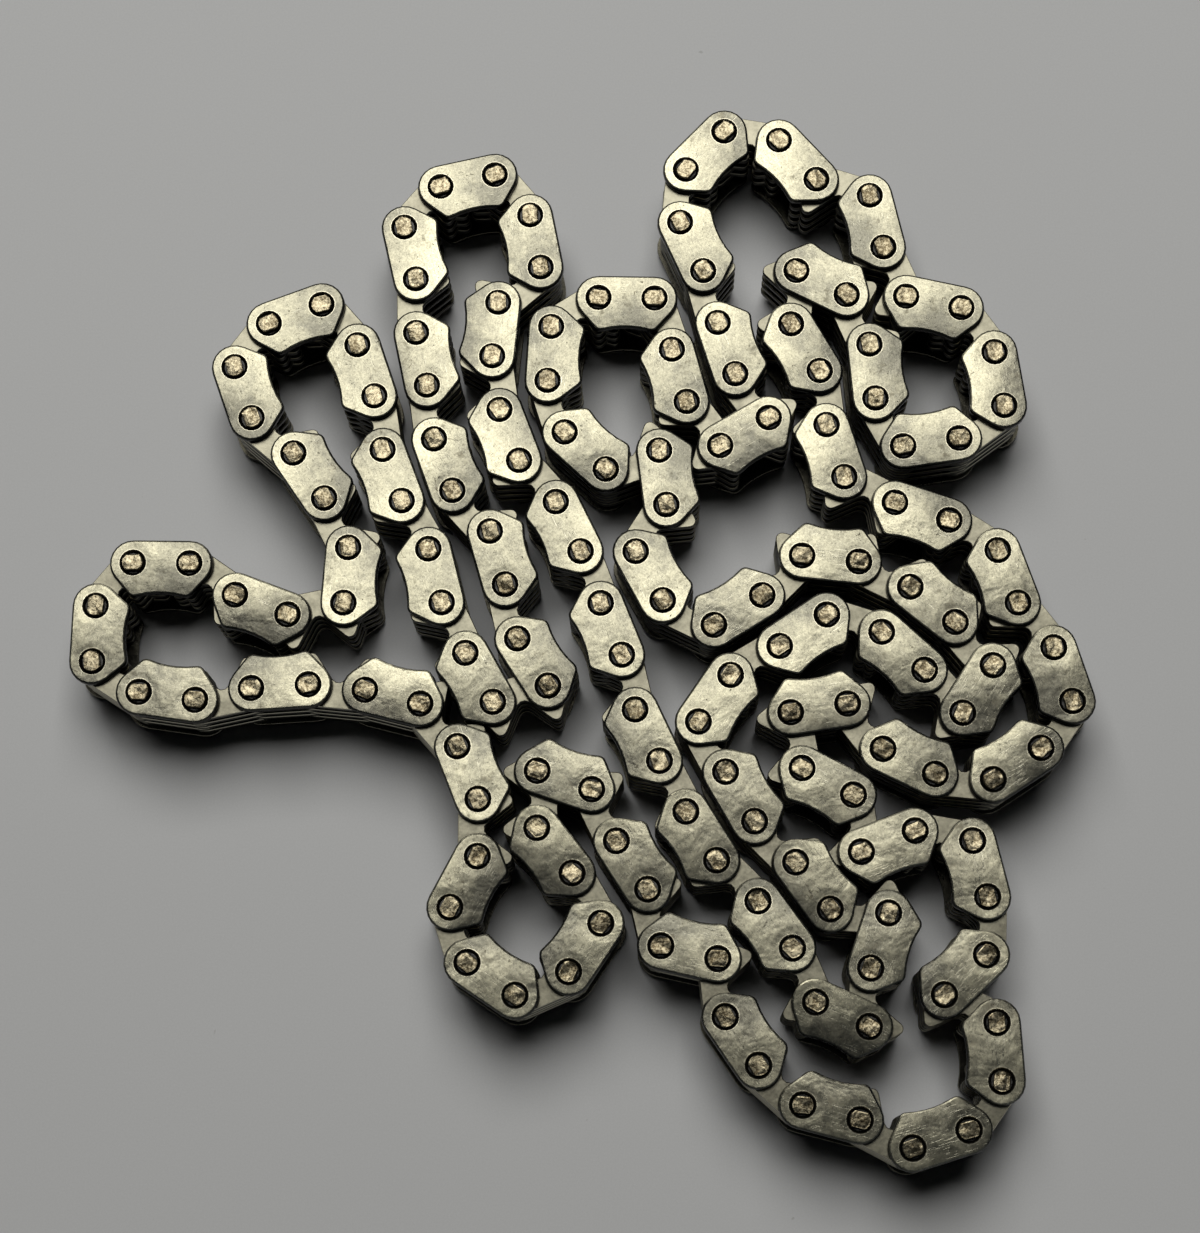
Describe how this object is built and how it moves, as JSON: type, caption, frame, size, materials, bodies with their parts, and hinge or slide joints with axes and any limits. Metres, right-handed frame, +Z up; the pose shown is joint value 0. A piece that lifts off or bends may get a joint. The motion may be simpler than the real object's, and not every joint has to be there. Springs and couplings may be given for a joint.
{
  "type": "timing chain",
  "caption": "Endless inverted-tooth timing chain of steel plates on staked pins, laid down loose in folds.",
  "frame": {"origin": "middle of the laid chain's footprint, in the plane that it rests on", "axes": "+Z up along the pins, +Y to the top of the picture, +X to its right"},
  "size_m": [0.1138, 0.1206, 0.0098],
  "materials": {
    "guide_steel": "satin warm grey steel with fine scratches and rolled bright edges",
    "toothed_steel": "plain grey steel, oily and dark on the stacked edges",
    "pin_steel": "brown-grey hardened steel with rough staked ends"
  },
  "bodies": {
    "base": {"base_guide_plates": "guide_steel", "base_middle_plates": "toothed_steel", "base_outer_link_plates": "toothed_steel", "base_inner_link_plates": "toothed_steel", "base_pins": "pin_steel"},
    "left_run_bar_a": {"left_run_bar_a": "toothed_steel"},
    "left_run": {"left_run_guide_plates": "guide_steel", "left_run_toothed_plates": "toothed_steel", "left_run_pins": "pin_steel"},
    "left_run_bar_b": {"left_run_bar_b": "toothed_steel"},
    "left_loop_bar_a": {"left_loop_bar_a": "toothed_steel"},
    "left_loop": {"left_loop_guide_plates": "guide_steel", "left_loop_toothed_plates": "toothed_steel", "left_loop_pins": "pin_steel"},
    "left_loop_bar_b": {"left_loop_bar_b": "toothed_steel"},
    "upper_fold_bar_a": {"upper_fold_bar_a": "toothed_steel"},
    "upper_fold": {"upper_fold_guide_plates": "guide_steel", "upper_fold_toothed_plates": "toothed_steel", "upper_fold_pins": "pin_steel"},
    "upper_fold_bar_b": {"upper_fold_bar_b": "toothed_steel"},
    "middle_fold_bar_a": {"middle_fold_bar_a": "toothed_steel"},
    "middle_fold": {"middle_fold_guide_plates": "guide_steel", "middle_fold_toothed_plates": "toothed_steel", "middle_fold_pins": "pin_steel"},
    "middle_fold_bar_b": {"middle_fold_bar_b": "toothed_steel"},
    "inner_link_bar_a": {"inner_link_bar_a": "toothed_steel"},
    "inner_link": {"inner_link_guide_plates": "guide_steel", "inner_link_toothed_plates": "toothed_steel", "inner_link_pins": "pin_steel"},
    "inner_link_bar_b": {"inner_link_bar_b": "toothed_steel"},
    "top_loop_bar_a": {"top_loop_bar_a": "toothed_steel"},
    "top_loop": {"top_loop_guide_plates": "guide_steel", "top_loop_toothed_plates": "toothed_steel", "top_loop_pins": "pin_steel"},
    "top_loop_bar_b": {"top_loop_bar_b": "toothed_steel"},
    "top_right_fold_bar_a": {"top_right_fold_bar_a": "toothed_steel"},
    "top_right_fold": {"top_right_fold_guide_plates": "guide_steel", "top_right_fold_toothed_plates": "toothed_steel", "top_right_fold_pins": "pin_steel"},
    "top_right_fold_bar_b": {"top_right_fold_bar_b": "toothed_steel"},
    "right_bend_bar_a": {"right_bend_bar_a": "toothed_steel"},
    "right_bend": {"right_bend_guide_plates": "guide_steel", "right_bend_toothed_plates": "toothed_steel", "right_bend_pins": "pin_steel"},
    "right_bend_bar_b": {"right_bend_bar_b": "toothed_steel"},
    "lower_right_loop_bar_a": {"lower_right_loop_bar_a": "toothed_steel"},
    "lower_right_loop": {"lower_right_loop_guide_plates": "guide_steel", "lower_right_loop_toothed_plates": "toothed_steel", "lower_right_loop_pins": "pin_steel"},
    "lower_right_loop_bar_b": {"lower_right_loop_bar_b": "toothed_steel"},
    "lower_tip_bar_a": {"lower_tip_bar_a": "toothed_steel"},
    "lower_tip": {"lower_tip_guide_plates": "guide_steel", "lower_tip_toothed_plates": "toothed_steel", "lower_tip_pins": "pin_steel"},
    "lower_tip_bar_b": {"lower_tip_bar_b": "toothed_steel"},
    "lower_left_loop_bar_a": {"lower_left_loop_bar_a": "toothed_steel"},
    "lower_left_loop": {"lower_left_loop_guide_plates": "guide_steel", "lower_left_loop_toothed_plates": "toothed_steel", "lower_left_loop_pins": "pin_steel"},
    "lower_left_loop_bar_b": {"lower_left_loop_bar_b": "toothed_steel"}
  },
  "joints": [
    {"name": "left_run_swing", "type": "hinge", "parent": "base", "child": "left_run_bar_a", "pos_m": [-0.0135, -0.01382, 0.0047], "axis": [0, 0, 1], "range_deg": [0, 50]},
    {"name": "left_run_level", "type": "hinge", "parent": "left_run_bar_a", "child": "left_run", "pos_m": [-0.01767, -0.00903, 0.0047], "axis": [0, 0, 1], "range_deg": [-50, 0]},
    {"name": "left_run_follow", "type": "hinge", "parent": "base", "child": "left_run_bar_b", "pos_m": [-0.02536, 0.03239, 0.0047], "axis": [0, 0, 1], "range_deg": [0, 50]},
    {"name": "left_loop_swing", "type": "hinge", "parent": "left_run", "child": "left_loop_bar_a", "pos_m": [-0.03648, -0.00724, 0.0047], "axis": [0, 0, 1], "range_deg": [-45, 5]},
    {"name": "left_loop_level", "type": "hinge", "parent": "left_loop_bar_a", "child": "left_loop", "pos_m": [-0.04269, -0.00856, 0.0047], "axis": [0, 0, 1], "range_deg": [-5, 45]},
    {"name": "left_loop_follow", "type": "hinge", "parent": "left_run", "child": "left_loop_bar_b", "pos_m": [-0.02639, 0.00244, 0.0047], "axis": [0, 0, 1], "range_deg": [-45, 5]},
    {"name": "upper_fold_swing", "type": "hinge", "parent": "base", "child": "upper_fold_bar_a", "pos_m": [-0.01653, 0.02131, 0.0047], "axis": [0, 0, 1], "range_deg": [-8, 5]},
    {"name": "upper_fold_level", "type": "hinge", "parent": "upper_fold_bar_a", "child": "upper_fold", "pos_m": [-0.01742, 0.0276, 0.0047], "axis": [0, 0, 1], "range_deg": [-5, 8]},
    {"name": "upper_fold_follow", "type": "hinge", "parent": "base", "child": "upper_fold_bar_b", "pos_m": [-0.00918, 0.02473, 0.0047], "axis": [0, 0, 1], "range_deg": [-8, 5]},
    {"name": "middle_fold_swing", "type": "hinge", "parent": "base", "child": "middle_fold_bar_a", "pos_m": [-0.00183, 0.02208, 0.0047], "axis": [0, 0, 1], "range_deg": [-7, 8]},
    {"name": "middle_fold_level", "type": "hinge", "parent": "middle_fold_bar_a", "child": "middle_fold", "pos_m": [-0.00379, 0.02811, 0.0047], "axis": [0, 0, 1], "range_deg": [-8, 7]},
    {"name": "middle_fold_follow", "type": "hinge", "parent": "base", "child": "middle_fold_bar_b", "pos_m": [0.01025, 0.03172, 0.0047], "axis": [0, 0, 1], "range_deg": [-7, 8]},
    {"name": "inner_link_swing", "type": "hinge", "parent": "base", "child": "inner_link_bar_a", "pos_m": [0.0119, 0.02559, 0.0047], "axis": [0, 0, 1], "range_deg": [-4, 3]},
    {"name": "inner_link_level", "type": "hinge", "parent": "inner_link_bar_a", "child": "inner_link", "pos_m": [0.01564, 0.02045, 0.0047], "axis": [0, 0, 1], "range_deg": [-3, 4]},
    {"name": "inner_link_follow", "type": "hinge", "parent": "base", "child": "inner_link_bar_b", "pos_m": [0.01738, 0.02881, 0.0047], "axis": [0, 0, 1], "range_deg": [-4, 3]},
    {"name": "top_loop_swing", "type": "hinge", "parent": "base", "child": "top_loop_bar_a", "pos_m": [0.0112, 0.04678, 0.0047], "axis": [0, 0, 1], "range_deg": [-45, 4]},
    {"name": "top_loop_level", "type": "hinge", "parent": "top_loop_bar_a", "child": "top_loop", "pos_m": [0.01186, 0.05309, 0.0047], "axis": [0, 0, 1], "range_deg": [-4, 45]},
    {"name": "top_loop_follow", "type": "hinge", "parent": "base", "child": "top_loop_bar_b", "pos_m": [0.02371, 0.03464, 0.0047], "axis": [0, 0, 1], "range_deg": [-45, 4]},
    {"name": "top_right_fold_swing", "type": "hinge", "parent": "top_loop", "child": "top_right_fold_bar_a", "pos_m": [0.03425, 0.0437, 0.0047], "axis": [0, 0, 1], "range_deg": [-3, 13]},
    {"name": "top_right_fold_level", "type": "hinge", "parent": "top_right_fold_bar_a", "child": "top_right_fold", "pos_m": [0.03673, 0.03785, 0.0047], "axis": [0, 0, 1], "range_deg": [-13, 3]},
    {"name": "top_right_fold_follow", "type": "hinge", "parent": "top_loop", "child": "top_right_fold_bar_b", "pos_m": [0.03003, 0.03807, 0.0047], "axis": [0, 0, 1], "range_deg": [-3, 13]},
    {"name": "right_bend_swing", "type": "hinge", "parent": "base", "child": "right_bend_bar_a", "pos_m": [0.04855, 0.0023, 0.0047], "axis": [0, 0, 1], "range_deg": [-3, 1]},
    {"name": "right_bend_level", "type": "hinge", "parent": "right_bend_bar_a", "child": "right_bend", "pos_m": [0.05237, -0.00278, 0.0047], "axis": [0, 0, 1], "range_deg": [-1, 3]},
    {"name": "right_bend_follow", "type": "hinge", "parent": "base", "child": "right_bend_bar_b", "pos_m": [0.02956, -0.00908, 0.0047], "axis": [0, 0, 1], "range_deg": [-3, 1]},
    {"name": "lower_right_loop_swing", "type": "hinge", "parent": "base", "child": "lower_right_loop_bar_a", "pos_m": [0.03008, -0.01927, 0.0047], "axis": [0, 0, 1], "range_deg": [0, 15]},
    {"name": "lower_right_loop_level", "type": "hinge", "parent": "lower_right_loop_bar_a", "child": "lower_right_loop", "pos_m": [0.03085, -0.02557, 0.0047], "axis": [0, 0, 1], "range_deg": [-15, 0]},
    {"name": "lower_right_loop_follow", "type": "hinge", "parent": "base", "child": "lower_right_loop_bar_b", "pos_m": [0.01514, -0.03731, 0.0047], "axis": [0, 0, 1], "range_deg": [0, 15]},
    {"name": "lower_tip_swing", "type": "hinge", "parent": "lower_right_loop", "child": "lower_tip_bar_a", "pos_m": [0.03963, -0.04122, 0.0047], "axis": [0, 0, 1], "range_deg": [-30, 13]},
    {"name": "lower_tip_level", "type": "hinge", "parent": "lower_tip_bar_a", "child": "lower_tip", "pos_m": [0.04524, -0.0442, 0.0047], "axis": [0, 0, 1], "range_deg": [-13, 30]},
    {"name": "lower_tip_follow", "type": "hinge", "parent": "lower_right_loop", "child": "lower_tip_bar_b", "pos_m": [0.03035, -0.0547, 0.0047], "axis": [0, 0, 1], "range_deg": [-30, 13]},
    {"name": "lower_left_loop_swing", "type": "hinge", "parent": "base", "child": "lower_left_loop_bar_a", "pos_m": [-0.00465, -0.01657, 0.0047], "axis": [0, 0, 1], "range_deg": [-8, 6]},
    {"name": "lower_left_loop_level", "type": "hinge", "parent": "lower_left_loop_bar_a", "child": "lower_left_loop", "pos_m": [-0.00465, -0.02292, 0.0047], "axis": [0, 0, 1], "range_deg": [-6, 8]},
    {"name": "lower_left_loop_follow", "type": "hinge", "parent": "base", "child": "lower_left_loop_bar_b", "pos_m": [-0.01115, -0.01972, 0.0047], "axis": [0, 0, 1], "range_deg": [-8, 6]}
  ],
  "couplings": [
    {"joint": "left_run_level", "follows": "left_run_swing", "ratio": -1},
    {"joint": "left_run_follow", "follows": "left_run_swing", "ratio": 1},
    {"joint": "left_loop_level", "follows": "left_loop_swing", "ratio": -1},
    {"joint": "left_loop_follow", "follows": "left_loop_swing", "ratio": 1},
    {"joint": "upper_fold_level", "follows": "upper_fold_swing", "ratio": -1},
    {"joint": "upper_fold_follow", "follows": "upper_fold_swing", "ratio": 1},
    {"joint": "middle_fold_level", "follows": "middle_fold_swing", "ratio": -1},
    {"joint": "middle_fold_follow", "follows": "middle_fold_swing", "ratio": 1},
    {"joint": "inner_link_level", "follows": "inner_link_swing", "ratio": -1},
    {"joint": "inner_link_follow", "follows": "inner_link_swing", "ratio": 1},
    {"joint": "top_loop_level", "follows": "top_loop_swing", "ratio": -1},
    {"joint": "top_loop_follow", "follows": "top_loop_swing", "ratio": 1},
    {"joint": "top_right_fold_level", "follows": "top_right_fold_swing", "ratio": -1},
    {"joint": "top_right_fold_follow", "follows": "top_right_fold_swing", "ratio": 1},
    {"joint": "right_bend_level", "follows": "right_bend_swing", "ratio": -1},
    {"joint": "right_bend_follow", "follows": "right_bend_swing", "ratio": 1},
    {"joint": "lower_right_loop_level", "follows": "lower_right_loop_swing", "ratio": -1},
    {"joint": "lower_right_loop_follow", "follows": "lower_right_loop_swing", "ratio": 1},
    {"joint": "lower_tip_level", "follows": "lower_tip_swing", "ratio": -1},
    {"joint": "lower_tip_follow", "follows": "lower_tip_swing", "ratio": 1},
    {"joint": "lower_left_loop_level", "follows": "lower_left_loop_swing", "ratio": -1},
    {"joint": "lower_left_loop_follow", "follows": "lower_left_loop_swing", "ratio": 1}
  ]
}
